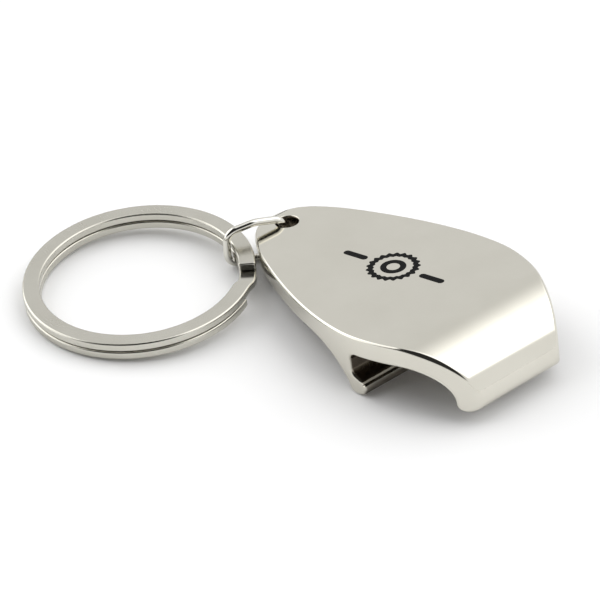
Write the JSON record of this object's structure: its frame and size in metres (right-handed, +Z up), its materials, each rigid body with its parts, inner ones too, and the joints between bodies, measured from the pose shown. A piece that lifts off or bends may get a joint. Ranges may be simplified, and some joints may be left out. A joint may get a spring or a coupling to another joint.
{
  "type": "keychain bottle opener",
  "caption": "Cast metal bottle opener with a leaf-shaped plate, a cap hook and a bent-down lip, joined by an oval link to a flat split ring.",
  "frame": {"origin": "on the table, in the middle of the footprint of the body, link and ring as they lie", "axes": "+X along the body from the ring end towards the lip, +Y across the body, +Z up from the table"},
  "size_m": [0.0644, 0.0482, 0.009],
  "materials": {
    "cast_nickel": "mirror-polished nickel plating over a zinc die casting",
    "link_nickel": "bright nickel plating over bent steel wire",
    "ring_nickel": "nickel plating over flat coiled steel wire, slightly satin"
  },
  "bodies": {
    "opener": {"opener_body": "cast_nickel"},
    "link": {"jump_link": "link_nickel"},
    "ring": {"split_ring": "ring_nickel"}
  },
  "joints": [
    {"name": "eyelet_swing", "type": "hinge", "parent": "opener", "child": "link", "pos_m": [-0.01091, 0.01057, 0.00334], "axis": [0, 0, 1], "range_deg": [-144, 0]},
    {"name": "ring_turn", "type": "hinge", "parent": "link", "child": "ring", "pos_m": [-0.01719, -0.00899, 0.00076], "axis": [-0.0152, -0.0473, 0.9988], "continuous": true}
  ]
}
